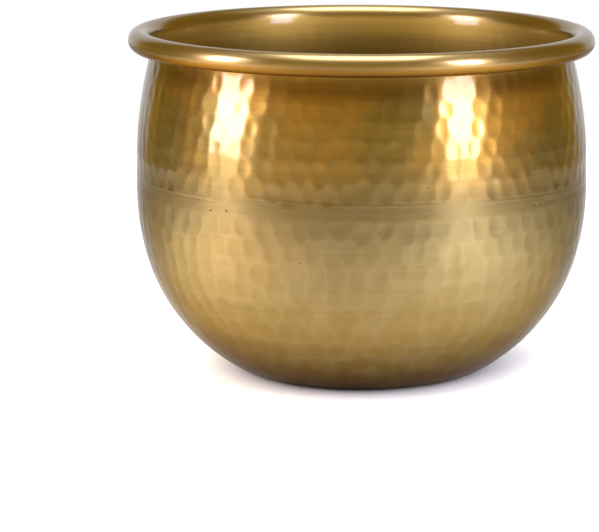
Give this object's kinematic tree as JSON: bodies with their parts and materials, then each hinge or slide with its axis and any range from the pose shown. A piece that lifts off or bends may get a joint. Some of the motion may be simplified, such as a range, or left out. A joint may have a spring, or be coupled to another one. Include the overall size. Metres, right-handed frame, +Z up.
{
  "type": "brass kalash pot",
  "caption": "Round-bellied hammered brass pot with a wide open mouth, a rolled rim over wire, a brazed lap joint at the belly and a flat base.",
  "frame": {"origin": "middle of the flat base, on the surface that the pot stands on", "axes": "+Z up along the pot's axis of revolution, out of the mouth; the pot is round, so +X and +Y are free, and the ends of the rim's wire hoop meet at +Y"},
  "size_m": [0.1714, 0.1714, 0.127],
  "materials": {
    "bowl_brass": "antique hammered brass, rubbed paler, fine horizontal brush lines, satin",
    "body_brass": "antique hammered brass, golden amber, fine horizontal brush lines, satin to bright",
    "wire_brass": "drawn wire, dull",
    "spelter": "brazing spelter, turned flush"
  },
  "bodies": {
    "root": {"lower_bowl": "bowl_brass", "upper_body": "body_brass", "rim_wire": "wire_brass", "belly_braze": "spelter"}
  },
  "joints": []
}
